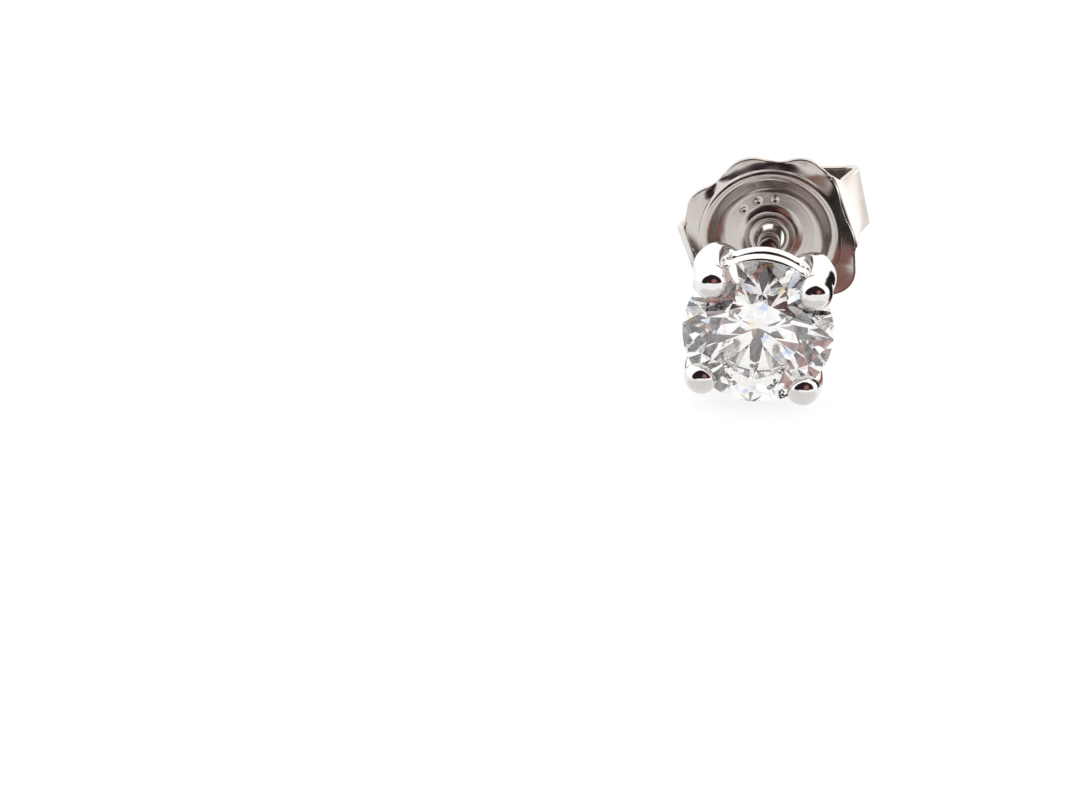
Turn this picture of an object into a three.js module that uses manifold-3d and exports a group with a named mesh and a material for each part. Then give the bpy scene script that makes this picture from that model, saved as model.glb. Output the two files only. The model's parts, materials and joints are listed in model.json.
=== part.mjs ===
// A four-prong stud earring with a round brilliant-cut stone and a butterfly clutch on its post.
// Millimetres, +Z up. The stone faces -Y, the post runs towards +Y, and the earring lies on the
// plane z = 0 on the edge of its stone and two lobes of its clutch.

import * as THREE from 'three';
import { mergeVertices } from 'three/addons/utils/BufferGeometryUtils.js';
import Module from 'manifold-3d';

const wasm = await Module();
wasm.setup();

// Driving dimensions. In the earring's own axes the post lies along y, and y = 0 is the girdle.

const STONE_RADIUS = 2.15;
const TABLE_SHARE = 0.56;
const CROWN_SLOPE = THREE.MathUtils.degToRad(34.5);
const PAVILION_SLOPE = THREE.MathUtils.degToRad(40.75);
const STAR_SHARE = 0.52;
const LOWER_HALF_SHARE = 0.77;
const GIRDLE_THICKNESS = 0.03 * 2 * STONE_RADIUS;
const GIRDLE_SIDES = 48;
const GEM_FOLDS = 8;

const PRONG_COUNT = 4;
const PRONG_RADIUS = 0.42;
const BEAD_RADIUS = 0.48;
const BEAD_FLATNESS = 0.72;
const BEAD_FACING = THREE.MathUtils.degToRad(32);
const SEAT_GAP = 0.04;
const HEAD_TURN = THREE.MathUtils.degToRad(-4);
// The prong's centre line: distance from the post's axis, and place along it.
const PRONG_LINE = [
  { reach: 2.11, y: -0.35 },
  { reach: 2.29, y: 0.45 },
  { reach: 2.22, y: 1.2 },
  { reach: 1.98, y: 2.1 },
  { reach: 1.5, y: 2.62 },
  { reach: 0.0, y: 2.95 },
];
const PRONG_SIDES = 12;
const PRONG_STEPS = 12;

const GALLERY_WIRE_RADIUS = 0.24;
const GALLERY_WIRES = [
  { reach: 1.72, y: 1.1 },
  { reach: 1.59, y: 2.1 },
];
const GALLERY_STEPS = 32;

const BASE_RADIUS = 0.95;
const BASE_FRONT = 2.65;
const BASE_BACK = 3.45;
const BASE_EDGE = 0.12;

const POST_RADIUS = 0.38;
const POST_TIP = 12.5;
const POST_TIP_ROUNDING = 0.24;

const CLUTCH_PLACE = 8.22;
const CLUTCH_TURN = THREE.MathUtils.degToRad(21);
const SHEET = 0.22;
// The dished plate's middle surface: distance from the post's axis, and depth behind its ridge.
const DISH_PROFILE = [
  { reach: 0.56, depth: 0.02 },
  { reach: 0.61, depth: 0.18 },
  { reach: 0.76, depth: 0.36 },
  { reach: 1.0, depth: 0.46 },
  { reach: 1.14, depth: 0.47 },
  { reach: 1.34, depth: 0.47 },
  { reach: 1.48, depth: 0.46 },
  { reach: 1.72, depth: 0.35 },
  { reach: 1.93, depth: 0.15 },
  { reach: 2.05, depth: 0.02 },
  { reach: 2.14, depth: 0.0 },
  { reach: 2.24, depth: 0.08 },
];
// The plate's edge, anticlockwise from the middle of the right-hand wing: each stretch's span in
// degrees, its reach from the post at either end, and how far it swells between them.
const HALF_WING = { span: 31, steps: 5, swell: 0 };
const SIDE_LOBE = { span: 35, steps: 6, swell: 0.25 };
const BROAD_SIDE_LOBE = { span: 41, steps: 7, swell: 0.42 };
const UPPER_LOBE = { span: 48, steps: 8, swell: 0.3 };
const LOWER_LOBE = { span: 42, steps: 7, swell: 0.25 };
const WING_MIDDLE = 2.41;
const WING_NOTCH = 2.74;
const LOBE_NOTCH = 2.45;
const BROAD_LOBE_NOTCH = 2.6;
const EDGE_SECTORS = [
  { ...HALF_WING, from: WING_MIDDLE, to: WING_NOTCH },
  { ...SIDE_LOBE, from: WING_NOTCH, to: LOBE_NOTCH },
  { ...UPPER_LOBE, from: LOBE_NOTCH, to: LOBE_NOTCH },
  { ...SIDE_LOBE, from: LOBE_NOTCH, to: WING_NOTCH },
  { ...HALF_WING, from: WING_NOTCH, to: WING_MIDDLE },
  { ...HALF_WING, from: WING_MIDDLE, to: WING_NOTCH },
  { ...SIDE_LOBE, from: WING_NOTCH, to: LOBE_NOTCH },
  { ...LOWER_LOBE, from: LOBE_NOTCH, to: BROAD_LOBE_NOTCH },
  { ...BROAD_SIDE_LOBE, from: BROAD_LOBE_NOTCH, to: WING_NOTCH },
  { ...HALF_WING, from: WING_NOTCH, to: WING_MIDDLE },
];
const WING_SPAN = THREE.MathUtils.degToRad(HALF_WING.span);
const EDGE_DEPTH = 0.26;
const LOBE_DOMING = 0.08;
const FLANGE_RINGS = 3;
// The wing leaves the plate in a bend, runs on as a flat panel and turns back at its roll.
const BEND_RADIUS = 0.5;
const BEND_START = THREE.MathUtils.degToRad(48);
const BEND_STEPS = 2;
const PANEL_SLOPE = THREE.MathUtils.degToRad(63);
const PANEL_LENGTH = 0.97;
const PANEL_STEPS = 3;
const ROLL_RADIUS = 0.39;
const ROLL_CENTRE = { reach: 2.6, depth: 1.4 };
const ROLL_STEPS = 5;
const CURL_RADIUS = 0.42;
const CURL_GAP = 0.06;
const CURL_TURN = THREE.MathUtils.degToRad(110);
const CURL_STEPS = 4;
const WING_HALF_WIDTH = { atFold: 0.98, atEnd: 2.0 };
const WING_WAIST = 0.3;
// The two wings are rolled by hand, so their folds differ a little in angle and in reach.
const WINGS = [
  { side: 1, skew: Math.tan(THREE.MathUtils.degToRad(7)), spread: 0.06 },
  { side: -1, skew: 0, spread: -0.12 },
];

const METAL = { color: 0xd9d5d1, metalness: 1.0, roughness: 0.12 };
const DIAMOND = { color: 0xf2f5f8, metalness: 0.0, roughness: 0.02 };

// Solids.

function toSolid(geometry) {
  const bare = geometry.clone();
  bare.deleteAttribute('normal');
  bare.deleteAttribute('uv');
  const welded = mergeVertices(bare, 1e-4);
  return new wasm.Manifold(new wasm.Mesh({
    numProp: 3,
    vertProperties: Float32Array.from(welded.attributes.position.array),
    triVerts: Uint32Array.from(welded.index.array),
  }));
}

function toGeometry(body) {
  const cut = body.getMesh();
  const geometry = new THREE.BufferGeometry();
  geometry.setAttribute('position', new THREE.BufferAttribute(cut.vertProperties, 3));
  geometry.setIndex(new THREE.BufferAttribute(cut.triVerts, 1));
  return geometry;
}

function joined(bodies) {
  return bodies.reduce((whole, body) => whole.add(body));
}

// The stone: a round blank that each facet's plane is ground into. Margin grows it on every side.

function stoneFacets() {
  const foldAngle = Math.PI / GEM_FOLDS;
  const halfFold = Math.cos(foldAngle);
  const quarterFold = Math.cos(foldAngle / 2);
  const tableReach = TABLE_SHARE * STONE_RADIUS;
  const starReach = tableReach * halfFold + STAR_SHARE * (STONE_RADIUS - tableReach * halfFold);
  const lowerReach = STONE_RADIUS * (1 - LOWER_HALF_SHARE);
  const tableHeight = (STONE_RADIUS - tableReach) * Math.tan(CROWN_SLOPE);
  const starHeight = (STONE_RADIUS - starReach * halfFold) * Math.tan(CROWN_SLOPE);
  const lowerHeight = (STONE_RADIUS - lowerReach * halfFold) * Math.tan(PAVILION_SLOPE);
  const starSlope = Math.atan2(tableHeight - starHeight, starReach - tableReach * halfFold);
  const upperSlope = Math.atan2(starHeight, (STONE_RADIUS - starReach) * quarterFold);
  const lowerSlope = Math.atan2(lowerHeight, (STONE_RADIUS - lowerReach) * quarterFold);
  const rim = { reach: STONE_RADIUS, height: 0 };
  const halfRim = { reach: STONE_RADIUS * quarterFold, height: 0 };
  const table = { reach: tableReach * halfFold, height: tableHeight };
  return [
    { side: -1, slope: 0, through: table, azimuths: [0] },
    { side: -1, slope: CROWN_SLOPE, through: rim, azimuths: [0] },
    { side: -1, slope: starSlope, through: table, azimuths: [foldAngle] },
    { side: -1, slope: upperSlope, through: halfRim, azimuths: [foldAngle / 2, -foldAngle / 2] },
    { side: 1, slope: PAVILION_SLOPE, through: rim, azimuths: [0] },
    { side: 1, slope: lowerSlope, through: halfRim, azimuths: [foldAngle / 2, -foldAngle / 2] },
  ];
}

function roundBrilliant(margin) {
  const reach = (STONE_RADIUS + margin) / Math.cos(Math.PI / GIRDLE_SIDES);
  let gem = toSolid(new THREE.CylinderGeometry(reach, reach, 4 * STONE_RADIUS, GIRDLE_SIDES));
  for (const facet of stoneFacets()) {
    const along = Math.cos(facet.slope);
    const out = Math.sin(facet.slope);
    const height = facet.through.height + GIRDLE_THICKNESS / 2;
    const distance = out * facet.through.reach + along * height + margin;
    for (let fold = 0; fold < GEM_FOLDS; fold += 1) {
      for (const start of facet.azimuths) {
        const azimuth = start + (2 * Math.PI * fold) / GEM_FOLDS;
        const inward = [-out * Math.cos(azimuth), -facet.side * along, -out * Math.sin(azimuth)];
        gem = gem.trimByPlane(inward, -distance);
      }
    }
  }
  return gem;
}

// The setting: prongs, gallery wires, base and post, soldered into one solid.

function prong(azimuth) {
  const point = ({ reach, y }) => new THREE.Vector3(
    reach * Math.cos(azimuth), y, reach * Math.sin(azimuth));
  const line = new THREE.CatmullRomCurve3(PRONG_LINE.map(point), false, 'centripetal');
  const section = new THREE.Shape().absarc(0, 0, PRONG_RADIUS, 0, 2 * Math.PI);
  const wire = new THREE.ExtrudeGeometry(section, {
    curveSegments: PRONG_SIDES,
    steps: PRONG_STEPS,
    bevelEnabled: false,
    extrudePath: line,
  });
  return toSolid(wire).add(toSolid(bead(azimuth, point(PRONG_LINE[0]))));
}

// The prong's tip: a ball flattened where it faces outwards and away from the post.
function bead(azimuth, place) {
  const ball = new THREE.SphereGeometry(BEAD_RADIUS, PRONG_SIDES, PRONG_SIDES / 2);
  ball.scale(1, BEAD_FLATNESS, 1);
  ball.rotateZ(BEAD_FACING);
  ball.rotateY(-azimuth);
  ball.translate(place.x, place.y, place.z);
  return ball;
}

function galleryWire({ reach, y }) {
  const wire = new THREE.TorusGeometry(reach, GALLERY_WIRE_RADIUS, 8, GALLERY_STEPS);
  wire.rotateX(Math.PI / 2);
  wire.translate(0, y, 0);
  return toSolid(wire);
}

function baseAndPost() {
  const profile = [
    new THREE.Vector2(0, BASE_FRONT),
    new THREE.Vector2(BASE_RADIUS - BASE_EDGE, BASE_FRONT),
    new THREE.Vector2(BASE_RADIUS, BASE_FRONT + BASE_EDGE),
    new THREE.Vector2(BASE_RADIUS, BASE_BACK - BASE_EDGE),
    new THREE.Vector2(BASE_RADIUS - BASE_EDGE, BASE_BACK),
    new THREE.Vector2(POST_RADIUS, BASE_BACK),
    new THREE.Vector2(POST_RADIUS, POST_TIP - POST_TIP_ROUNDING),
    new THREE.Vector2(POST_RADIUS - 0.3 * POST_TIP_ROUNDING, POST_TIP - 0.3 * POST_TIP_ROUNDING),
    new THREE.Vector2(POST_RADIUS - POST_TIP_ROUNDING, POST_TIP),
    new THREE.Vector2(0, POST_TIP),
  ];
  return toSolid(new THREE.LatheGeometry(profile, 2 * PRONG_SIDES));
}

function setting() {
  const prongs = [];
  for (let index = 0; index < PRONG_COUNT; index += 1) {
    prongs.push(prong(((index + 0.5) * 2 * Math.PI) / PRONG_COUNT));
  }
  const metal = joined([...prongs, ...GALLERY_WIRES.map(galleryWire), baseAndPost()]);
  return metal.subtract(roundBrilliant(SEAT_GAP));
}

// The clutch: the middle surface of its sheet, a dished plate with a lobed edge and two wings that
// roll back and in towards the post, then the same surface thickened to the sheet's gauge.

function edgePoints() {
  const points = [];
  let start = 0;
  for (const sector of EDGE_SECTORS) {
    for (let step = 0; step < sector.steps; step += 1) {
      const share = step / sector.steps;
      const rise = sector.swell === 0 ? 0 : Math.sin(Math.PI * share) ** 1.3;
      const blend = THREE.MathUtils.smoothstep(share, 0, 1);
      points.push({
        angle: THREE.MathUtils.degToRad(start + share * sector.span),
        reach: THREE.MathUtils.lerp(sector.from, sector.to, blend) + sector.swell * rise,
        depth: EDGE_DEPTH - LOBE_DOMING * rise,
        flatness: Math.min(2 * rise, 1),
      });
    }
    start += sector.span;
  }
  return points;
}

// From the ridge the plate runs straight back to a wing or a notch, and levels out under a lobe.
function flangePoint(end, share) {
  const start = DISH_PROFILE[DISH_PROFILE.length - 1];
  const fall = THREE.MathUtils.lerp(share, Math.sin((share * Math.PI) / 2), end.flatness);
  return {
    reach: THREE.MathUtils.lerp(start.reach, end.reach, share),
    depth: THREE.MathUtils.lerp(start.depth, end.depth, fall),
  };
}

// The point of a round bend at which the sheet slopes back by the angle turn.
function bendPoint(centre, radius, turn) {
  return {
    reach: centre.reach + radius * Math.sin(turn),
    depth: centre.depth - radius * Math.cos(turn),
  };
}

function bend(centre, radius, from, to, steps) {
  const line = [];
  for (let step = 0; step <= steps; step += 1) {
    line.push(bendPoint(centre, radius, THREE.MathUtils.lerp(from, to, step / steps)));
  }
  return line;
}

function straight(from, to, steps) {
  const line = [];
  for (let step = 1; step < steps; step += 1) {
    line.push({
      reach: THREE.MathUtils.lerp(from.reach, to.reach, step / steps),
      depth: THREE.MathUtils.lerp(from.depth, to.depth, step / steps),
    });
  }
  return line;
}

function wingLine() {
  const panelEnd = bendPoint(ROLL_CENTRE, ROLL_RADIUS, PANEL_SLOPE);
  const panelStart = {
    reach: panelEnd.reach - PANEL_LENGTH * Math.cos(PANEL_SLOPE),
    depth: panelEnd.depth - PANEL_LENGTH * Math.sin(PANEL_SLOPE),
  };
  const bendCentre = bendPoint(panelStart, -BEND_RADIUS, PANEL_SLOPE);
  const back = ROLL_CENTRE.depth + ROLL_RADIUS;
  const curlCentre = {
    reach: POST_RADIUS + CURL_GAP + SHEET / 2 + CURL_RADIUS,
    depth: back - CURL_RADIUS,
  };
  const roll = bend(ROLL_CENTRE, ROLL_RADIUS, PANEL_SLOPE, Math.PI, ROLL_STEPS);
  const curl = bend(curlCentre, CURL_RADIUS, Math.PI, Math.PI + CURL_TURN, CURL_STEPS);
  return [
    ...bend(bendCentre, BEND_RADIUS, BEND_START, PANEL_SLOPE, BEND_STEPS).slice(1),
    ...straight(panelStart, panelEnd, PANEL_STEPS),
    ...roll,
    ...straight(roll[ROLL_STEPS], curl[0], 2),
    ...curl,
  ];
}

// How freely the wing can lean: nothing where it leaves the plate or where its end meets the post.
function wingFreedom({ reach, depth }) {
  const leaving = THREE.MathUtils.smoothstep(depth, EDGE_DEPTH, ROLL_CENTRE.depth);
  const { reach: fold } = ROLL_CENTRE;
  return leaving * THREE.MathUtils.smoothstep(reach, 0.35 * fold, 0.88 * fold);
}

// Past the notch the wing narrows to a waist, and from its roll it flares back towards the post.
function wingHalfWidth({ reach, depth }) {
  const pastRoll = depth > ROLL_CENTRE.depth || reach < ROLL_CENTRE.reach / 2;
  if (pastRoll) {
    const fold = ROLL_CENTRE.reach + ROLL_RADIUS;
    const end = POST_RADIUS + CURL_GAP + SHEET / 2;
    const share = ((fold - reach) / (fold - end)) ** 1.6;
    return THREE.MathUtils.lerp(WING_HALF_WIDTH.atFold, WING_HALF_WIDTH.atEnd, share);
  }
  const start = WING_NOTCH * Math.cos(WING_SPAN);
  const share = THREE.MathUtils.smoothstep(reach, start, start + WING_WAIST);
  return THREE.MathUtils.lerp(WING_NOTCH * Math.sin(WING_SPAN), WING_HALF_WIDTH.atFold, share);
}

function clutchSurface() {
  const edge = edgePoints();
  const positions = [];
  const faces = [];
  const addQuad = (a, b, c, d) => faces.push(a, b, c, a, c, d);
  const addPoint = (across, depth, up) => {
    positions.push(across, depth, up);
    return positions.length / 3 - 1;
  };
  const rings = DISH_PROFILE.map((ring) => edge.map(() => ring));
  for (let ring = 1; ring <= FLANGE_RINGS; ring += 1) {
    rings.push(edge.map((point) => flangePoint(point, ring / FLANGE_RINGS)));
  }
  const grid = rings.map((ring) => ring.map(({ reach, depth }, index) => addPoint(
    reach * Math.cos(edge[index].angle), depth, reach * Math.sin(edge[index].angle))));
  for (let ring = 1; ring < grid.length; ring += 1) {
    for (let index = 0; index < edge.length; index += 1) {
      const next = (index + 1) % edge.length;
      addQuad(grid[ring - 1][index], grid[ring][index], grid[ring][next], grid[ring - 1][next]);
    }
  }
  for (const { side, skew, spread } of WINGS) {
    const middle = side === 1 ? 0 : edge.length / 2;
    const ends = [];
    for (let step = -HALF_WING.steps; step <= HALF_WING.steps; step += 1) {
      ends.push((middle + step + edge.length) % edge.length);
    }
    let previous = ends.map((index) => grid[grid.length - 1][index]);
    for (const place of wingLine()) {
      const stretch = wingHalfWidth(place) / Math.sin(WING_SPAN);
      const free = wingFreedom(place);
      const row = ends.map((index) => {
        const aside = stretch * Math.sin(edge[index].angle);
        const across = side * (place.reach + free * spread) + free * skew * aside;
        return addPoint(across, place.depth, aside);
      });
      for (let step = 1; step < row.length; step += 1) {
        addQuad(previous[step - 1], row[step - 1], row[step], previous[step]);
      }
      previous = row;
    }
  }
  const surface = new THREE.BufferGeometry();
  surface.setAttribute('position', new THREE.Float32BufferAttribute(positions, 3));
  surface.setIndex(faces);
  surface.computeVertexNormals();
  return surface;
}

function openEdges(faces) {
  const edges = new Map();
  for (let start = 0; start < faces.length; start += 3) {
    for (let corner = 0; corner < 3; corner += 1) {
      const from = faces[start + corner];
      const to = faces[start + ((corner + 1) % 3)];
      if (!edges.delete(`${to} ${from}`)) {
        edges.set(`${from} ${to}`, [from, to]);
      }
    }
  }
  return [...edges.values()];
}

function thickened(surface, gauge) {
  const middle = surface.attributes.position;
  const normal = surface.attributes.normal;
  const faces = Array.from(surface.index.array);
  const count = middle.count;
  const positions = [];
  for (const side of [0.5, -0.5]) {
    for (let index = 0; index < count; index += 1) {
      const point = new THREE.Vector3().fromBufferAttribute(middle, index);
      const out = new THREE.Vector3().fromBufferAttribute(normal, index);
      positions.push(...point.addScaledVector(out, side * gauge).toArray());
    }
  }
  const closed = [...faces];
  for (let start = 0; start < faces.length; start += 3) {
    closed.push(faces[start + 2] + count, faces[start + 1] + count, faces[start] + count);
  }
  for (const [from, to] of openEdges(faces)) {
    closed.push(to, from, from + count, to, from + count, to + count);
  }
  const sheet = new THREE.BufferGeometry();
  sheet.setAttribute('position', new THREE.Float32BufferAttribute(positions, 3));
  sheet.setIndex(closed);
  return sheet;
}

// The assembly.

function piece(name, geometry, finish) {
  const mesh = new THREE.Mesh(geometry, new THREE.MeshStandardMaterial(finish));
  mesh.name = name;
  return mesh;
}

function lowestPoint(object) {
  object.updateWorldMatrix(true, true);
  return new THREE.Box3().setFromObject(object, true).min.z;
}

// Tips the earring about x until its head and its clutch touch the same level plane.
function layDown(earring, head, clutch) {
  let low = 0;
  let high = Math.PI / 12;
  for (let round = 0; round < 40; round += 1) {
    earring.rotation.x = (low + high) / 2;
    if (lowestPoint(clutch) < lowestPoint(head)) {
      low = earring.rotation.x;
    } else {
      high = earring.rotation.x;
    }
  }
}

const stone = piece('stone', toGeometry(roundBrilliant(0)), DIAMOND);
const metalwork = piece('setting', toGeometry(setting()), METAL);
const clutch = piece('butterfly_clutch', thickened(clutchSurface(), SHEET), METAL);

const head = new THREE.Group();
head.add(stone, metalwork);
head.rotation.y = -HEAD_TURN;
clutch.position.y = CLUTCH_PLACE;
clutch.rotation.y = -CLUTCH_TURN;

const earring = new THREE.Group();
earring.add(head, clutch);
layDown(earring, head, clutch);

const object = new THREE.Group();
object.add(earring);
object.updateWorldMatrix(true, true);
const box = new THREE.Box3().setFromObject(object, true);
const middle = box.getCenter(new THREE.Vector3());
earring.position.set(-middle.x, -middle.y, -box.min.z);

export default object;
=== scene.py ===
"""The looks of a four-prong stud earring: its setting, stone and butterfly clutch, on a white floor.

The pieces are made in the earring's own axes, in millimetres: y runs down the post from the middle of
the stone's girdle, x is to the right and z up, as seen from the stone's side. Their sizes are the CAD
part's. One matrix, worked out from the frame, then places them in the frame's metres.
"""

import json
import math

import bmesh
import bpy
import numpy as np
import openvdb
from mathutils import Matrix, Vector

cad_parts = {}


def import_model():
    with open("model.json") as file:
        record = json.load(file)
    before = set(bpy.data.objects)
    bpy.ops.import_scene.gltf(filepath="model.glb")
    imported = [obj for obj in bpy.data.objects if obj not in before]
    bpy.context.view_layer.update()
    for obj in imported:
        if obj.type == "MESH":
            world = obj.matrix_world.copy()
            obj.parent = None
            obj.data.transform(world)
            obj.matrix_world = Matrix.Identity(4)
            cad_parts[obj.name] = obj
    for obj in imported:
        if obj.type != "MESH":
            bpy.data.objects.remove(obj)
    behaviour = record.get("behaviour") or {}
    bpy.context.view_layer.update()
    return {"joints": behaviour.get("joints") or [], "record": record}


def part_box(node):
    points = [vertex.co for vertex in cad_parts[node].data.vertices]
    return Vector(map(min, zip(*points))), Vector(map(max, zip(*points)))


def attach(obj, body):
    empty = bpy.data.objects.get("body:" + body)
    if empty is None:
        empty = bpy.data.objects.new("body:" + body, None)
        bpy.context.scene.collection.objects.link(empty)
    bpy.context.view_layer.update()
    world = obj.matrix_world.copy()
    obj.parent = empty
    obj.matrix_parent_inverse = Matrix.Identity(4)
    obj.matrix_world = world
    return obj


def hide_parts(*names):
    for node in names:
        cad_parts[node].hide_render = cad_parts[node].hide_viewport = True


MM = 0.001

# The stone.
STONE_RADIUS = 2.15
TABLE_SHARE = 0.56
CROWN_SLOPE = math.radians(34.5)
PAVILION_SLOPE = math.radians(40.75)
STAR_SHARE = 0.52
LOWER_HALF_SHARE = 0.77
GIRDLE_THICKNESS = 0.03 * 2 * STONE_RADIUS
GIRDLE_SIDES = 96
GEM_FOLDS = 8

# The setting. A line's points are its distance from the post's axis and its place along it.
HEAD_TURN = math.radians(-4)
PRONG_RADIUS = 0.42
BEAD_RADIUS = 0.48
BEAD_FLATNESS = 0.72
BEAD_FACING = math.radians(32)
PRONG_LINE = ((2.11, -0.35), (2.29, 0.45), (2.22, 1.2), (1.98, 2.1), (1.5, 2.62), (0.0, 2.95))
GALLERY_WIRE_RADIUS = 0.24
GALLERY_WIRES = ((1.72, 1.1), (1.59, 2.1))
BASE_RADIUS = 0.95
BASE_FRONT = 2.65
BASE_BACK = 3.45
BASE_EDGE = 0.12
POST_RADIUS = 0.38
POST_TIP = 12.5
POST_TIP_ROUNDING = 0.24
SEAT_GAP = 0.02
SOLDER_FILLET = 0.16
BEAD_FILLET = 0.1
SKIN_STEP = 0.042

# The clutch: the middle surface of its sheet, as distance from the post's axis and depth behind its ridge.
# Its edges are rounded off, which takes the sheet's rounding from their reach.
CLUTCH_PLACE = 8.22
CLUTCH_TURN = math.radians(21)
SHEET = 0.22
SHEET_ROUNDING = 0.06
DISH_PROFILE = (
    (0.56, 0.02),
    (0.61, 0.18),
    (0.76, 0.36),
    (1.0, 0.46),
    (1.14, 0.47),
    (1.34, 0.47),
    (1.48, 0.46),
    (1.72, 0.35),
    (1.93, 0.15),
    (2.05, 0.02),
    (2.14, 0.0),
    (2.24, 0.08),
)
WING_MIDDLE = 2.41
WING_NOTCH = 2.74
LOBE_NOTCH = 2.45
BROAD_LOBE_NOTCH = 2.6
# The edge, anticlockwise from the middle of the right-hand wing: span in degrees, reach at either end and
# how far it swells between them.
EDGE_SECTORS = (
    (31, WING_MIDDLE, WING_NOTCH, 0),
    (35, WING_NOTCH, LOBE_NOTCH, 0.25),
    (48, LOBE_NOTCH, LOBE_NOTCH, 0.3),
    (35, LOBE_NOTCH, WING_NOTCH, 0.25),
    (31, WING_NOTCH, WING_MIDDLE, 0),
    (31, WING_MIDDLE, WING_NOTCH, 0),
    (35, WING_NOTCH, LOBE_NOTCH, 0.25),
    (42, LOBE_NOTCH, BROAD_LOBE_NOTCH, 0.25),
    (41, BROAD_LOBE_NOTCH, WING_NOTCH, 0.42),
    (31, WING_NOTCH, WING_MIDDLE, 0),
)
WING_SPAN = math.radians(EDGE_SECTORS[0][0])
# Three plain dimples pressed into the dish's floor, as angles in degrees from the right-hand wing.
DIMPLES = (116, 90, 64)
DIMPLE_REACH = 1.2
DIMPLE_RADIUS = 0.11
DIMPLE_DEPTH = 0.035
EDGE_DEPTH = 0.26
LOBE_DOMING = 0.08
BEND_RADIUS = 0.5
BEND_START = math.radians(48)
PANEL_SLOPE = math.radians(63)
PANEL_LENGTH = 0.97
ROLL_RADIUS = 0.39
ROLL_CENTRE = (2.6, 1.4)
CURL_RADIUS = 0.42
CURL_GAP = 0.06
CURL_TURN = math.radians(110)
WING_HALF_WIDTH_AT_FOLD = 0.98
WING_HALF_WIDTH_AT_END = 2.0
WING_WAIST = 0.3
# Each wing's side, the tangent of its fold's skew, and how much further out it is rolled.
WINGS = ((1, math.tan(math.radians(7)), 0.06), (-1, 0.0, -0.12))

# How finely the lines are drawn: steps between the points of a line, and along each stretch of the sheet.
LINE_STEPS = 6
EDGE_SPACING = 1.25
FLANGE_RINGS = 10
BEND_STEPS = 12
PANEL_STEPS = 13
ROLL_STEPS = 24
BACK_STEPS = 17
CURL_STEPS = 16
ROUNDING_STEPS = 4

# The camera: its direction from the stone, its lens, and the stone's place in its view.
CAMERA_AZIMUTH = math.radians(8.4)
CAMERA_ELEVATION = math.radians(20.33)
CAMERA_LENS = 66.667
STONE_RIGHT = 6.2204 * MM
STONE_UP = 2.0874 * MM
STONE_AHEAD = 57.128 * MM


# Numbers and meshes.


def lerp(start, end, share):
    return start + (end - start) * share


def smoothstep(value, low, high):
    share = min(max((value - low) / (high - low), 0.0), 1.0)
    return share * share * (3 - 2 * share)


def smooth_line(points, steps):
    """A centripetal Catmull-Rom spline through the points, with that many steps between each two."""
    knots = [np.array(p, float) for p in points]
    knots = [2 * knots[0] - knots[1], *knots, 2 * knots[-1] - knots[-2]]
    line = []
    for p0, p1, p2, p3 in zip(knots, knots[1:], knots[2:], knots[3:]):
        t1 = np.linalg.norm(p1 - p0) ** 0.5
        t2 = t1 + np.linalg.norm(p2 - p1) ** 0.5
        t3 = t2 + np.linalg.norm(p3 - p2) ** 0.5
        for t in np.linspace(t1, t2, steps, endpoint=False):
            a1 = lerp(p0, p1, t / t1)
            a2 = lerp(p1, p2, (t - t1) / (t2 - t1))
            a3 = lerp(p2, p3, (t - t2) / (t3 - t2))
            b1 = lerp(a1, a2, t / t2)
            b2 = lerp(a2, a3, (t - t1) / (t3 - t1))
            line.append(lerp(b1, b2, (t - t1) / (t2 - t1)))
    line.append(knots[-2])
    return np.array(line)


def new_object(name, mesh, place, smooth=True):
    mesh.transform(place)
    mesh.polygons.foreach_set("use_smooth", [smooth] * len(mesh.polygons))
    made = bpy.data.objects.new(name, mesh)
    bpy.context.scene.collection.objects.link(made)
    return made


def earring_place(frame):
    """The matrix from the earring's own axes, in millimetres, to the frame."""
    post = Vector(frame["joints"][0]["axis"]).normalized()
    mounts = {mount["name"]: mount for mount in frame["record"]["mounts"]}
    face = Vector(mounts["lobe_front"]["pos_m"])
    right = Vector((1, 0, 0))
    up = right.cross(post)
    centre = face - (face.x - sum(axis_x(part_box("setting"))) / 2) * right - BASE_BACK * MM * post
    turn = Matrix((right, post, up)).transposed().to_4x4()
    return Matrix.Translation(centre) @ turn @ Matrix.Scale(MM, 4)


def axis_x(box):
    return box[0].x, box[1].x


# The stone.


def facet_planes():
    """The facets of one fold: side (-1 crown, 1 pavilion), slope, a point's reach and height, azimuths."""
    fold = math.pi / GEM_FOLDS
    table_reach = TABLE_SHARE * STONE_RADIUS
    table_flat = table_reach * math.cos(fold)
    star_reach = table_flat + STAR_SHARE * (STONE_RADIUS - table_flat)
    lower_reach = STONE_RADIUS * (1 - LOWER_HALF_SHARE)
    table_height = (STONE_RADIUS - table_reach) * math.tan(CROWN_SLOPE)
    star_height = (STONE_RADIUS - star_reach * math.cos(fold)) * math.tan(CROWN_SLOPE)
    lower_height = (STONE_RADIUS - lower_reach * math.cos(fold)) * math.tan(PAVILION_SLOPE)
    star_slope = math.atan2(table_height - star_height, star_reach - table_flat)
    quarter = math.cos(fold / 2)
    upper_slope = math.atan2(star_height, (STONE_RADIUS - star_reach) * quarter)
    lower_slope = math.atan2(lower_height, (STONE_RADIUS - lower_reach) * quarter)
    rim = (STONE_RADIUS, 0)
    half_rim = (STONE_RADIUS * quarter, 0)
    table = (table_flat, table_height)
    return (
        (-1, 0, table, (0,)),
        (-1, CROWN_SLOPE, rim, (0,)),
        (-1, star_slope, table, (fold,)),
        (-1, upper_slope, half_rim, (fold / 2, -fold / 2)),
        (1, PAVILION_SLOPE, rim, (0,)),
        (1, lower_slope, half_rim, (fold / 2, -fold / 2)),
    )


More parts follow.
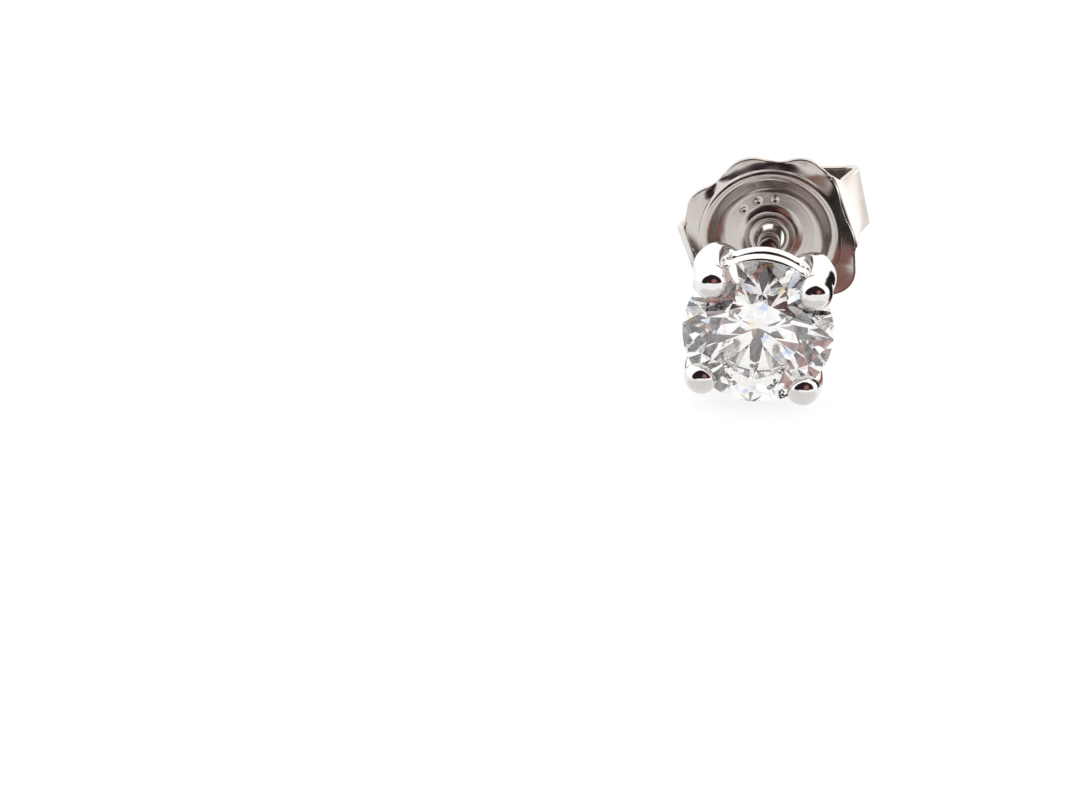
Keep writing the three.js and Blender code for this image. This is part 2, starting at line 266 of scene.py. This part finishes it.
def facets():
    """Every facet's outward direction and its distance from the middle of the girdle."""
    found = []
    for side, slope, (reach, height), azimuths in facet_planes():
        distance = math.sin(slope) * reach + math.cos(slope) * (height + GIRDLE_THICKNESS / 2)
        folds = 1 if slope == 0 else GEM_FOLDS
        for fold in range(folds):
            for start in azimuths:
                turn = start + 2 * math.pi * fold / GEM_FOLDS
                across = math.sin(slope) * math.cos(turn)
                up = math.sin(slope) * math.sin(turn)
                found.append((Vector((across, side * math.cos(slope), up)), distance))
    return found


def stone_mesh():
    """A round blank with each facet's plane cut from it."""
    gem = bmesh.new()
    radius = STONE_RADIUS / math.cos(math.pi / GIRDLE_SIDES)
    blank = bmesh.ops.create_cone(
        gem,
        cap_ends=True,
        segments=GIRDLE_SIDES,
        radius1=radius,
        radius2=radius,
        depth=4 * STONE_RADIUS,
    )
    bmesh.ops.rotate(gem, verts=blank["verts"], matrix=Matrix.Rotation(math.pi / 2, 3, "X"))
    for out, distance in facets():
        whole = gem.verts[:] + gem.edges[:] + gem.faces[:]
        cut = bmesh.ops.bisect_plane(
            gem, geom=whole, plane_co=out * distance, plane_no=out, clear_outer=True, dist=1e-7
        )
        rim = [edge for edge in cut["geom_cut"] if isinstance(edge, bmesh.types.BMEdge)]
        bmesh.ops.contextual_create(gem, geom=rim)
    bmesh.ops.recalc_face_normals(gem, faces=gem.faces[:])
    mesh = bpy.data.meshes.new("brilliant_stone")
    gem.to_mesh(mesh)
    gem.free()
    return mesh


# The setting, as a field of distances from the surface of the soldered metal.


def soft_union(one, other, fillet):
    """The nearer of two surfaces, with the inside corner between them filled by solder."""
    near = np.maximum(fillet - np.abs(one - other), 0) / fillet
    return np.minimum(one, other) - near * near * fillet / 4


def prong_field(reach, along, aside):
    line = smooth_line(PRONG_LINE, LINE_STEPS)
    nearest = np.full(np.broadcast(reach, along, aside).shape, np.inf, np.float32)
    for (r0, y0), (r1, y1) in zip(line, line[1:]):
        length = (r1 - r0) ** 2 + (y1 - y0) ** 2
        share = np.clip(((reach - r0) * (r1 - r0) + (along - y0) * (y1 - y0)) / length, 0, 1)
        off = (reach - lerp(r0, r1, share)) ** 2 + (along - lerp(y0, y1, share)) ** 2
        nearest = np.minimum(nearest, off + aside**2)
    wire = np.sqrt(nearest) - PRONG_RADIUS
    bead = bead_field(reach - PRONG_LINE[0][0], along - PRONG_LINE[0][1], aside)
    return soft_union(wire, bead, BEAD_FILLET)


def bead_field(out, along, aside):
    """The prong's tip: a ball flattened where it faces outwards and away from the post."""
    facing = math.cos(BEAD_FACING) * -along + math.sin(BEAD_FACING) * out
    across = math.sin(BEAD_FACING) * along + math.cos(BEAD_FACING) * out
    flat, round_ = BEAD_RADIUS * BEAD_FLATNESS, BEAD_RADIUS
    near = np.sqrt((facing / flat) ** 2 + (across**2 + aside**2) / round_**2)
    far = np.sqrt((facing / flat**2) ** 2 + (across**2 + aside**2) / round_**4)
    return near * (near - 1) / np.maximum(far, 1e-6)


def round_bar_field(radius_from_axis, along, radius, start, end, rounding):
    """A cylinder on the post's axis with rounded edges."""
    out = radius_from_axis - radius + rounding
    past = np.abs(along - (start + end) / 2) - (end - start) / 2 + rounding
    outside = np.sqrt(np.maximum(out, 0) ** 2 + np.maximum(past, 0) ** 2)
    return outside + np.minimum(np.maximum(out, past), 0) - rounding


def stone_field(x, y, z, gap):
    field = np.sqrt(x**2 + z**2) - STONE_RADIUS
    for out, distance in facets():
        field = np.maximum(field, out.x * x + out.y * y + out.z * z - distance)
    return field - gap


def setting_field(x, y, z):
    radius_from_axis = np.sqrt(x**2 + z**2)
    metal = prong_field((x + z) / math.sqrt(2), y, (x - z) / math.sqrt(2))
    for reach, along in GALLERY_WIRES:
        wire = np.sqrt((radius_from_axis - reach) ** 2 + (y - along) ** 2) - GALLERY_WIRE_RADIUS
        metal = soft_union(metal, wire, SOLDER_FILLET)
    base = round_bar_field(radius_from_axis, y, BASE_RADIUS, BASE_FRONT, BASE_BACK, BASE_EDGE)
    metal = soft_union(metal, base, SOLDER_FILLET)
    post = round_bar_field(radius_from_axis, y, POST_RADIUS, BASE_FRONT, POST_TIP, POST_TIP_ROUNDING)
    metal = soft_union(metal, post, SOLDER_FILLET)
    return np.maximum(metal, -stone_field(x, y, z, SEAT_GAP))


def setting_mesh():
    """The surface of the setting's field, worked out for a quarter and mirrored."""
    reach = PRONG_LINE[1][0] / math.sqrt(2) + BEAD_RADIUS + 3 * SKIN_STEP
    count = int(reach / SKIN_STEP)
    side = (np.arange(count) + 0.5) * SKIN_STEP
    start = PRONG_LINE[0][1] - BEAD_RADIUS - 3 * SKIN_STEP
    along = np.arange(start, POST_TIP + 3 * SKIN_STEP, SKIN_STEP)
    quarter = setting_field(side[:, None, None], along[None, :, None], side[None, None, :])
    half = np.concatenate((quarter[::-1], quarter), axis=0)
    whole = np.concatenate((half[:, :, ::-1], half), axis=2)
    grid = openvdb.FloatGrid(3 * SKIN_STEP)
    grid.copyFromArray(whole.astype(np.float32))
    points, quads = grid.convertToQuads(isovalue=0.0)
    points = points * SKIN_STEP + np.array([-side[-1], start, -side[-1]])
    mesh = bpy.data.meshes.new("prong_setting")
    mesh.from_pydata(points.tolist(), [], quads.tolist())
    mesh.validate()
    return mesh


# The clutch.


def edge_points(spacing):
    """The plate's edge, as angle, reach, depth and flatness, with points about that many degrees apart."""
    points = []
    start = 0
    for span, reach_from, reach_to, swell in EDGE_SECTORS:
        steps = round(span / spacing)
        for share in np.arange(steps) / steps:
            angle = math.radians(start + share * span)
            rise = math.sin(math.pi * share) ** 1.3 if swell else 0.0
            flatness = min(2 * rise, 1)
            reach = lerp(reach_from, reach_to, smoothstep(share, 0, 1)) + swell * rise
            depth = EDGE_DEPTH - LOBE_DOMING * rise
            points.append((angle, reach - SHEET_ROUNDING * flatness, depth, flatness))
        start += span
    return points


def arc(centre, radius, start, end, steps):
    """Points where the sheet turns back by the angle from start to end, as reach and depth."""
    turns = np.linspace(start, end, steps + 1)
    return [(centre[0] + radius * math.sin(turn), centre[1] - radius * math.cos(turn)) for turn in turns]


def wing_line():
    """The wing's own line: a bend, a flat panel, the roll at its fold, the back and the curl by the post."""
    panel = np.array((math.cos(PANEL_SLOPE), math.sin(PANEL_SLOPE)))
    outward = np.array((math.sin(PANEL_SLOPE), -math.cos(PANEL_SLOPE)))
    panel_end = np.array(ROLL_CENTRE) + ROLL_RADIUS * outward
    bend_centre = panel_end - PANEL_LENGTH * panel - BEND_RADIUS * outward
    line = arc(bend_centre, BEND_RADIUS, BEND_START, PANEL_SLOPE, BEND_STEPS)[1:]
    panel_start = np.array(line[-1])
    for share in np.linspace(0, 1, PANEL_STEPS + 1)[1:-1]:
        line.append(tuple(lerp(panel_start, panel_end, share)))
    line += arc(ROLL_CENTRE, ROLL_RADIUS, PANEL_SLOPE, math.pi, ROLL_STEPS)
    back = ROLL_CENTRE[1] + ROLL_RADIUS
    curl_centre = (POST_RADIUS + CURL_GAP + SHEET / 2 + CURL_RADIUS, back - CURL_RADIUS)
    for share in np.linspace(0, 1, BACK_STEPS + 1)[1:-1]:
        line.append((lerp(ROLL_CENTRE[0], curl_centre[0], share), back))
    line += arc(curl_centre, CURL_RADIUS, math.pi, math.pi + CURL_TURN, CURL_STEPS)
    return line


def wing_freedom(reach, depth):
    """How freely the wing can lean: nothing where it leaves the plate or where its end meets the post."""
    leaving = smoothstep(depth, EDGE_DEPTH, ROLL_CENTRE[1])
    return leaving * smoothstep(reach, 0.35 * ROLL_CENTRE[0], 0.88 * ROLL_CENTRE[0])


def wing_half_width(reach, depth):
    """Past the notch the wing narrows to a waist, and from its roll it flares back towards the post."""
    past_roll = depth > ROLL_CENTRE[1] or reach < ROLL_CENTRE[0] / 2
    if past_roll:
        fold = ROLL_CENTRE[0] + ROLL_RADIUS
        end = POST_RADIUS + CURL_GAP + SHEET / 2
        share = max((fold - reach) / (fold - end), 0.0) ** 1.6
        return lerp(WING_HALF_WIDTH_AT_FOLD, WING_HALF_WIDTH_AT_END, share) - SHEET_ROUNDING
    start = WING_NOTCH * math.cos(WING_SPAN)
    share = smoothstep(reach, start, start + WING_WAIST)
    return lerp(WING_NOTCH * math.sin(WING_SPAN), WING_HALF_WIDTH_AT_FOLD, share) - SHEET_ROUNDING


def dimple_depth(across, up):
    """How far the dimples push the dish's floor back at this place."""
    depth = 0.0
    for angle in DIMPLES:
        turn = math.radians(angle)
        off = math.hypot(across - DIMPLE_REACH * math.cos(turn), up - DIMPLE_REACH * math.sin(turn))
        depth += DIMPLE_DEPTH * math.exp(-((off / DIMPLE_RADIUS) ** 4))
    return depth


def plate_rings(edge):
    """The plate's points, ring by ring from its hole to its edge, as reach and depth."""
    profile = smooth_line(DISH_PROFILE, LINE_STEPS)
    rings = [[(reach, depth)] * len(edge) for reach, depth in profile]
    reach_from, depth_from = profile[-1]
    for share in np.linspace(0, 1, FLANGE_RINGS + 1)[1:]:
        ring = []
        for _, reach, depth, flatness in edge:
            fall = lerp(share, math.sin(share * math.pi / 2), flatness)
            ring.append((lerp(reach_from, reach, share), lerp(depth_from, depth, fall)))
        rings.append(ring)
    return rings


def wing_rows(angles, side, skew, spread):
    """One wing's points, row by row from the plate to its curl."""
    for reach, depth in wing_line():
        stretch = wing_half_width(reach, depth) / math.sin(WING_SPAN)
        free = wing_freedom(reach, depth)
        row = []
        for angle in angles:
            aside = stretch * math.sin(angle)
            row.append((side * (reach + free * spread) + free * skew * aside, depth, aside))
        yield row


def clutch_surface():
    """The sheet's middle surface: points, and faces that turn anticlockwise as seen from the front."""
    edge = edge_points(EDGE_SPACING)
    angles = [angle for angle, *_ in edge]
    count = len(edge)
    rings = plate_rings(edge)
    points = []
    for ring in rings:
        for angle, (reach, depth) in zip(angles, ring):
            across, up = reach * math.cos(angle), reach * math.sin(angle)
            points.append((across, depth + dimple_depth(across, up), up))
    faces = []
    for outer in range(count, len(points), count):
        inner = outer - count
        for index in range(count):
            after = (index + 1) % count
            faces.append((inner + index, outer + index, outer + after, inner + after))
    rim = len(points) - count
    half = round(EDGE_SECTORS[0][0] / EDGE_SPACING)
    for side, skew, spread in WINGS:
        middle = 0 if side == 1 else count // 2
        ends = [(middle + step) % count for step in range(-half, half + 1)]
        previous = [rim + index for index in ends]
        for places in wing_rows([angles[index] for index in ends], side, skew, spread):
            row = [len(points) + index for index in range(len(places))]
            points += places
            faces += zip(previous, row, row[1:], previous[1:])
            previous = row
    return points, faces


def rounding_kept(verts, before, after):
    """How much of its rounding each point of an edge keeps: little in a sharp inside corner."""
    kept = {}
    for index in after:
        vert = verts[index]
        coming = (vert.co - verts[before[index]].co).normalized()
        going = (verts[after[index]].co - vert.co).normalized()
        inward = going.cross(coming).dot(vert.normal)
        kept[index] = 1 - min(max(2 * inward, 0), 0.9)
    for _ in range(6):
        sides = {index: (kept[before[index]] + kept[after[index]]) / 2 for index in kept}
        kept = {index: min(kept[index], sides[index]) for index in kept}
    return kept


def rounded_sheet(points, faces, gauge, rounding):
    """The surface thickened to a sheet, its edges rounded by that much past the surface's own edge."""
    surface = bmesh.new()
    verts = [surface.verts.new(point) for point in points]
    for face in faces:
        surface.faces.new([verts[index] for index in face])
    surface.normal_update()
    surface.verts.index_update()
    skins = []
    sheet = bmesh.new()
    for sign in (0.5, -0.5):
        skins.append([sheet.verts.new(v.co + v.normal * sign * gauge) for v in verts])
    for face in faces:
        sheet.faces.new([skins[0][index] for index in face])
        sheet.faces.new([skins[1][index] for index in reversed(face)])
    after = {}
    for edge in surface.edges:
        if edge.is_boundary:
            loop = edge.link_loops[0]
            after[loop.vert.index] = loop.link_loop_next.vert.index
    before = {end: start for start, end in after.items()}
    kept = rounding_kept(verts, before, after)
    rims = {}
    for index in after:
        vert = verts[index]
        run = verts[after[index]].co - verts[before[index]].co
        out = run.cross(vert.normal).normalized() * rounding * kept[index]
        rim = [skins[0][index]]
        for step in range(1, ROUNDING_STEPS):
            turn = math.pi * step / ROUNDING_STEPS
            place = vert.co + vert.normal * (gauge / 2 * math.cos(turn)) + out * math.sin(turn)
            rim.append(sheet.verts.new(place))
        rims[index] = rim + [skins[1][index]]
    for start, end in after.items():
        for a, b, c, d in zip(rims[end], rims[start], rims[start][1:], rims[end][1:]):
            sheet.faces.new((a, b, c, d))
    mesh = bpy.data.meshes.new("sheet")
    sheet.to_mesh(mesh)
    sheet.free()
    surface.free()
    return mesh


def clutch_mesh():
    points, faces = clutch_surface()
    return rounded_sheet(points, faces, SHEET, SHEET_ROUNDING)


# Materials.


class Nodes:
    """A material's node tree, with short ways to add and join its nodes."""

    def __init__(self, name="", tree_of=None):
        self.material = tree_of or bpy.data.materials.new(name)
        self.material.use_nodes = True
        self.tree = self.material.node_tree
        self.shader = self.tree.nodes.get("Principled BSDF")

    def add(self, kind, values=None, **settings):
        node = self.tree.nodes.new(kind)
        for key, value in settings.items():
            setattr(node, key, value)
        for key, value in (values or {}).items():
            node.inputs[key].default_value = value
        return node

    def join(self, source, target):
        self.tree.links.new(source, target)

    def maths(self, operation, *values):
        node = self.add("ShaderNodeMath", operation=operation)
        for socket, value in zip(node.inputs, values):
            self.feed(socket, value)
        return node.outputs["Value"]

    def mix(self, share, one, other):
        node = self.add("ShaderNodeMix", data_type="RGBA")
        self.feed(node.inputs[0], share)
        self.feed(node.inputs[6], one)
        self.feed(node.inputs[7], other)
        return node.outputs[2]

    def rise(self, value, low, high, at_low=0.0, at_high=1.0):
        """A smooth step from at_low to at_high as the value goes from low to high."""
        step = self.add("ShaderNodeMapRange", interpolation_type="SMOOTHSTEP")
        step.inputs["From Min"].default_value = low
        step.inputs["From Max"].default_value = high
        step.inputs["To Min"].default_value = at_low
        step.inputs["To Max"].default_value = at_high
        self.join(value, step.inputs["Value"])
        return step.outputs["Result"]

    def oval(self, across, up, middle, half_size, softness):
        """1 inside an oval and 0 outside it, with a soft edge."""
        squares = []
        for value, centre, half in zip((across, up), middle, half_size):
            off = self.maths("DIVIDE", self.maths("SUBTRACT", value, centre), half)
            squares.append(self.maths("MULTIPLY", off, off))
        out = self.maths("SQRT", self.maths("ADD", *squares))
        blur = softness / 2 / min(half_size)
        return self.rise(out, 1 - blur, 1 + blur, 1.0, 0.0)

    def feed(self, socket, value):
        """Joins a node's output to the socket, or sets a plain number or colour on it."""
        if isinstance(value, bpy.types.NodeSocket):
            self.join(value, socket)
        elif isinstance(value, tuple):
            socket.default_value = (*value, 1)
        else:
            socket.default_value = value

    def ramp(self, source, stops):
        node = self.add("ShaderNodeValToRGB")
        elements = node.color_ramp.elements
        for index, (place, colour) in enumerate(stops):
            element = elements[index] if index < 2 else elements.new(place)
            element.position = place
            element.color = (*colour, 1)
        self.join(source, node.inputs["Fac"])
        return node.outputs["Color"]


# Patches, pits and flashes of fire to a metre, and scratches to a metre along each axis.
CLOUD_SCALE = 900.0
PIT_SCALE = 1100.0
FIRE_SCALE = 2400.0
SCRATCH_SCALE = (9000, 1500, 9000)
PIT_SHARE = 0.2
PIT_EDGE = (0.02, 0.05)
RELIEF_DEPTH = 0.00001


def pits(nodes, place):
    """1 inside a few small round pits and 0 elsewhere."""
    cells = nodes.add("ShaderNodeTexVoronoi", {"Scale": PIT_SCALE, "Randomness": 1.0})
    nodes.join(place, cells.inputs["Vector"])
    shade = nodes.add("ShaderNodeSeparateColor")
    nodes.join(cells.outputs["Color"], shade.inputs["Color"])
    chosen = nodes.maths("GREATER_THAN", shade.outputs["Red"], 1 - PIT_SHARE)
    inside = nodes.rise(cells.outputs["Distance"], *PIT_EDGE, 1.0, 0.0)
    return nodes.maths("MULTIPLY", inside, chosen)


def scratches(nodes, place):
    """Fine lines drawn out along the post."""
    stretch = nodes.add("ShaderNodeMapping")
    stretch.inputs["Scale"].default_value = SCRATCH_SCALE
    nodes.join(place, stretch.inputs["Vector"])
    lines = nodes.add("ShaderNodeTexNoise", {"Scale": 1.0, "Detail": 3.0, "Roughness": 0.7})
    nodes.join(stretch.outputs["Vector"], lines.inputs["Vector"])
    return lines.outputs["Fac"]


def metal(name, colour, worn, roughness, scratch_depth, pit_depth):
    """White gold: cloudy wear in its colour and gloss, fine scratches, and a few casting pits, darkened
    inside by painted shade.
    """
    nodes = Nodes(name)
    nodes.shader.inputs["Metallic"].default_value = 1.0
    place = nodes.add("ShaderNodeTexCoord").outputs["Object"]
    cloud = nodes.add("ShaderNodeTexNoise", {"Scale": CLOUD_SCALE, "Detail": 4.0, "Roughness": 0.6})
    nodes.join(place, cloud.inputs["Vector"])
    pit = pits(nodes, place)
    tint = nodes.ramp(cloud.outputs["Fac"], ((0.35, worn), (0.65, colour)))
    # Painted shade: inside the pits the colour is darkened towards a quarter of the worn colour.
    painted_pit_shade = tuple(0.25 * channel for channel in worn)
    surface = nodes.mix(nodes.maths("MULTIPLY", pit, 0.7), tint, painted_pit_shade)
    nodes.join(surface, nodes.shader.inputs["Base Color"])
    gloss = nodes.rise(cloud.outputs["Fac"], 0.3, 0.7, *roughness)
    nodes.join(gloss, nodes.shader.inputs["Roughness"])
    lines = nodes.maths("MULTIPLY", scratches(nodes, place), scratch_depth)
    height = nodes.maths("SUBTRACT", lines, nodes.maths("MULTIPLY", pit, pit_depth))
    relief = nodes.add("ShaderNodeBump", {"Strength": 1.0, "Distance": RELIEF_DEPTH})
    nodes.join(height, relief.inputs["Height"])
    nodes.join(relief.outputs["Normal"], nodes.shader.inputs["Normal"])
    return nodes.material


def diamond():
    """Clear stone with small blue and amber flashes, as where its facets split the light."""
    nodes = Nodes("diamond")
    shader = nodes.shader
    shader.inputs["Transmission Weight"].default_value = 1.0
    shader.inputs["IOR"].default_value = 2.42
    shader.inputs["Roughness"].default_value = 0.0
    place = nodes.add("ShaderNodeTexCoord").outputs["Object"]
    fire = nodes.add("ShaderNodeTexNoise", {"Scale": FIRE_SCALE, "Detail": 0.0})
    nodes.join(place, fire.inputs["Vector"])
    clear = (0.965, 0.965, 0.955)
    stops = (
        (0.20, (0.40, 0.58, 1.0)),
        (0.26, clear),
        (0.75, clear),
        (0.81, (1.0, 0.70, 0.36)),
    )
    nodes.join(nodes.ramp(fire.outputs["Fac"], stops), shader.inputs["Base Color"])
    return nodes.material


# The scene.

# Cards far round the earring, in degrees, with the azimuth from the stone's side towards the right: the
# middle of the card's lower edge, or of an oval card, then its half width, its height, and its colour.
DOMES = (
    ("left card", -40, -2, 18, 34, (0.08, 0.07, 0.065)),
    ("front card", 7, 4, 70, 64, (0.02, 0.012, 0.015)),
)
OVALS = (
    ("brown card", 27, 21, 17, 14, (0.24, 0.10, 0.085)),
    ("bright card", 112, 8, 24, 18, (1.75, 1.7, 1.65)),
)
CARD_SOFTNESS = 4
# Cards close by, which only reflections show: lowest and highest corners in millimetres, in the frame.
NEAR_CARDS = (
    ("right_card", (7.0, -5.5, -2.5), (7.0, 4.6, 10.0), (0.012, 0.012, 0.008)),
    ("low_card", (1.0, -4.5, 0.05), (8.6, 5.4, 0.05), (0.27, 0.115, 0.10)),
    ("shade_card", (-7.5, -0.6, 0.04), (2.8, 6.8, 0.04), (0.13, 0.105, 0.095)),
    ("front_shade_card", (-7.0, -12.0, 0.03), (7.0, -5.5, 0.03), (0.8, 0.77, 0.76)),
)
# The share of a near card's width over which it fades in at each edge.
CARD_FADE = 0.2
PAPER_WHITE = (1.0, 0.985, 0.97)
ROOM_LIGHT = 1.35
FLOOR_GLOW = 0.85
FLOOR_HALF = 0.6


def floor():
    """A plain white floor that glows a little, so that it stays white round the earring."""
    nodes = Nodes("white_floor")
    nodes.shader.inputs["Base Color"].default_value = (0.2, 0.2, 0.2, 1)
    nodes.shader.inputs["Roughness"].default_value = 1.0
    nodes.shader.inputs["Specular IOR Level"].default_value = 0.0
    nodes.shader.inputs["Emission Color"].default_value = (1, 1, 1, 1)
    nodes.shader.inputs["Emission Strength"].default_value = FLOOR_GLOW
    mesh = bpy.data.meshes.new("floor")
    corners = card_corners((-FLOOR_HALF, -FLOOR_HALF, 0), (FLOOR_HALF, FLOOR_HALF, 0))
    mesh.from_pydata(corners, [], [(0, 1, 2, 3)])
    plane = new_object("floor", mesh, Matrix.Translation((0, 0, -0.00001)))
    plane.data.materials.append(nodes.material)


def card_corners(low, high):
    """The corners of a card that stands across x, or else lies level."""
    (x0, y0, z0), (x1, y1, z1) = low, high
    if x0 == x1:
        return [(x0, y0, z0), (x0, y1, z0), (x0, y1, z1), (x0, y0, z1)]
    return [(x0, y0, z0), (x1, y0, z0), (x1, y1, z1), (x0, y1, z1)]


def near_cards():
    """The cards close by, which light nothing and only show in the earring's reflections."""
    for name, low, high, colour in NEAR_CARDS:
        mesh = bpy.data.meshes.new(name)
        mesh.from_pydata(card_corners(low, high), [], [(0, 1, 2, 3)])
        card = new_object(name, mesh, Matrix.Scale(MM, 4))
        card.data.materials.append(card_material(name, low, high, colour))
        card.visible_camera = False
        card.visible_diffuse = False
        card.visible_shadow = False
        card.visible_transmission = False


def card_material(name, low, high, colour):
    """A plain glowing colour that fades to nothing towards the card's edges."""
    nodes = Nodes(name)
    parts = nodes.add("ShaderNodeSeparateXYZ")
    nodes.join(nodes.add("ShaderNodeTexCoord").outputs["Object"], parts.inputs["Vector"])
    strength = 1.0
    for axis, start, end in zip("XYZ", low, high):
        if start == end:
            continue
        soft = CARD_FADE * (end - start) * MM
        inner = nodes.rise(parts.outputs[axis], start * MM, start * MM + soft)
        outer = nodes.rise(parts.outputs[axis], end * MM - soft, end * MM, 1.0, 0.0)
        share = nodes.maths("MULTIPLY", inner, outer)
        strength = nodes.maths("MULTIPLY", strength, share)
    glow = nodes.add("ShaderNodeEmission", {"Color": (*colour, 1)})
    clear = nodes.add("ShaderNodeBsdfTransparent")
    blend = nodes.add("ShaderNodeMixShader")
    nodes.join(strength, blend.inputs["Fac"])
    nodes.join(clear.outputs["BSDF"], blend.inputs[1])
    nodes.join(glow.outputs["Emission"], blend.inputs[2])
    nodes.join(blend.outputs["Shader"], nodes.tree.nodes["Material Output"].inputs["Surface"])
    return nodes.material


def surroundings():
    """A white tent with cards in it, for light and reflections; the camera itself sees plain white."""
    world = bpy.data.worlds.new("studio")
    bpy.context.scene.world = world
    nodes = Nodes(tree_of=world)
    place = nodes.add("ShaderNodeTexCoord").outputs["Generated"]
    parts = nodes.add("ShaderNodeSeparateXYZ")
    nodes.join(place, parts.inputs["Vector"])
    front = nodes.maths("MULTIPLY", parts.outputs["Y"], -1.0)
    azimuth = nodes.maths("DEGREES", nodes.maths("ARCTAN2", parts.outputs["X"], front))
    elevation = nodes.maths("DEGREES", nodes.maths("ARCSINE", parts.outputs["Z"]))
    colour = PAPER_WHITE
    for _, middle, low, half_width, height, card_colour in DOMES:
        oval = nodes.oval(azimuth, elevation, (middle, low), (half_width, height), CARD_SOFTNESS)
        above = nodes.rise(elevation, low - CARD_SOFTNESS / 2, low + CARD_SOFTNESS / 2)
        colour = nodes.mix(nodes.maths("MULTIPLY", oval, above), colour, card_colour)
    for _, middle, level, half_width, half_height, card_colour in OVALS:
        half_size = (half_width, half_height)
        oval = nodes.oval(azimuth, elevation, (middle, level), half_size, 2 * CARD_SOFTNESS)
        colour = nodes.mix(oval, colour, card_colour)
    seen = nodes.add("ShaderNodeLightPath").outputs["Is Camera Ray"]
    colour = nodes.mix(seen, colour, PAPER_WHITE)
    background = nodes.tree.nodes["Background"]
    nodes.join(colour, background.inputs["Color"])
    background.inputs["Strength"].default_value = ROOM_LIGHT


def camera(place):
    back = Vector((
        math.sin(CAMERA_AZIMUTH) * math.cos(CAMERA_ELEVATION),
        -math.cos(CAMERA_AZIMUTH) * math.cos(CAMERA_ELEVATION),
        math.sin(CAMERA_ELEVATION),
    ))
    right = (-back).cross(Vector((0, 0, 1))).normalized()
    up = back.cross(right)
    data = bpy.data.cameras.new("camera")
    data.sensor_width = 36
    data.lens = CAMERA_LENS
    data.clip_start = 0.001
    data.clip_end = 10
    made = bpy.data.objects.new("camera", data)
    bpy.context.scene.collection.objects.link(made)
    turn = Matrix((right, up, back)).transposed().to_4x4()
    centre = place.translation - right * STONE_RIGHT - up * STONE_UP + back * STONE_AHEAD
    made.matrix_world = Matrix.Translation(centre) @ turn
    bpy.context.scene.camera = made


def main():
    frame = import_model()
    place = earring_place(frame)
    head = place @ Matrix.Rotation(-HEAD_TURN, 4, "Y")
    back = place @ Matrix.Translation((0, CLUTCH_PLACE, 0)) @ Matrix.Rotation(-CLUTCH_TURN, 4, "Y")

    bright = metal(
        "rhodium_polish",
        colour=(0.84, 0.83, 0.82),
        worn=(0.76, 0.75, 0.74),
        roughness=(0.03, 0.09),
        scratch_depth=0.08,
        pit_depth=0.6,
    )
    pressed = metal(
        "pressed_white_gold",
        colour=(0.64, 0.60, 0.565),
        worn=(0.56, 0.52, 0.485),
        roughness=(0.16, 0.26),
        scratch_depth=0.12,
        pit_depth=0.3,
    )

    stone = new_object("brilliant_stone", stone_mesh(), head, smooth=False)
    stone.data.materials.append(diamond())
    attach(stone, "root")
    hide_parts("stone")

    setting = new_object("prong_setting", setting_mesh(), head)
    setting.data.materials.append(bright)
    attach(setting, "root")
    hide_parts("setting")

    clutch = new_object("pressed_clutch", clutch_mesh(), back)
    clutch.data.materials.append(pressed)
    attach(clutch, "clutch")
    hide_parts("butterfly_clutch")

    floor()
    near_cards()
    surroundings()
    camera(place)
    scene = bpy.context.scene
    scene.view_settings.view_transform = "Standard"
    scene.cycles.max_bounces = 24
    scene.cycles.glossy_bounces = 16
    scene.cycles.transmission_bounces = 16


main()
